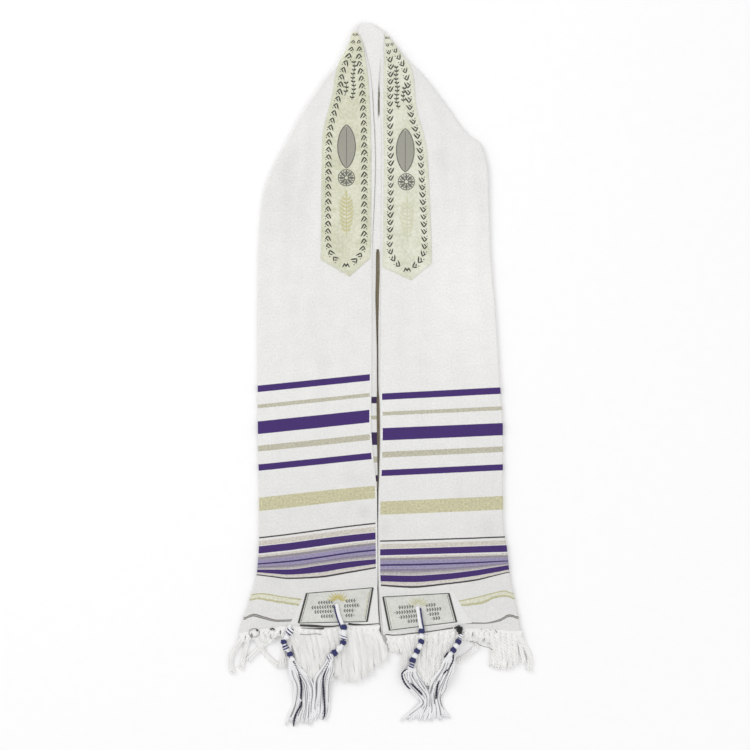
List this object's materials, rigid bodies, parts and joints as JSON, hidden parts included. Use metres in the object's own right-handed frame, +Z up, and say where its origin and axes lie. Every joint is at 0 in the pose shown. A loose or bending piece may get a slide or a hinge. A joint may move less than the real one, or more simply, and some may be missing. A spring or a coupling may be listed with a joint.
{
  "type": "tallit prayer shawl",
  "caption": "Long white prayer shawl with violet and gold stripes, folded lengthwise and doubled at the neck, with a neckband, corner patches, hem fringe and wound corner tassels.",
  "frame": {"origin": "middle of the box round the laid shawl, at the surface it lies on", "axes": "+X to the right across both legs, +Y from the hems toward the neck fold, +Z up from the surface"},
  "size_m": [0.4649, 1.075, 0.0146],
  "materials": {
    "shawl_cloth": "smooth white plain weave with a faint sheen and violet and gold woven stripes",
    "neckband_satin": "pale sage satin with a woven dark leaf border",
    "patch_satin": "pale sage-grey satin",
    "fringe_yarn": "soft twisted white yarn",
    "tassel_cord": "white cord wound and knotted with a dark blue one"
  },
  "bodies": {
    "root": {"shawl_back_neck": "shawl_cloth", "shawl_left_folded_layers": "shawl_cloth", "shawl_left_front": "shawl_cloth", "shawl_right_folded_layers": "shawl_cloth", "shawl_right_front": "shawl_cloth", "neckband_left": "neckband_satin", "neckband_right": "neckband_satin", "corner_patch_left": "patch_satin", "corner_patch_right": "patch_satin", "hem_fringe_left": "fringe_yarn", "hem_fringe_right": "fringe_yarn", "under_fringe_left": "fringe_yarn", "under_fringe_right": "fringe_yarn", "tzitzit_left_front": "tassel_cord", "tzitzit_left_back": "tassel_cord", "tzitzit_right_front": "tassel_cord", "tzitzit_right_back": "tassel_cord"}
  },
  "joints": []
}
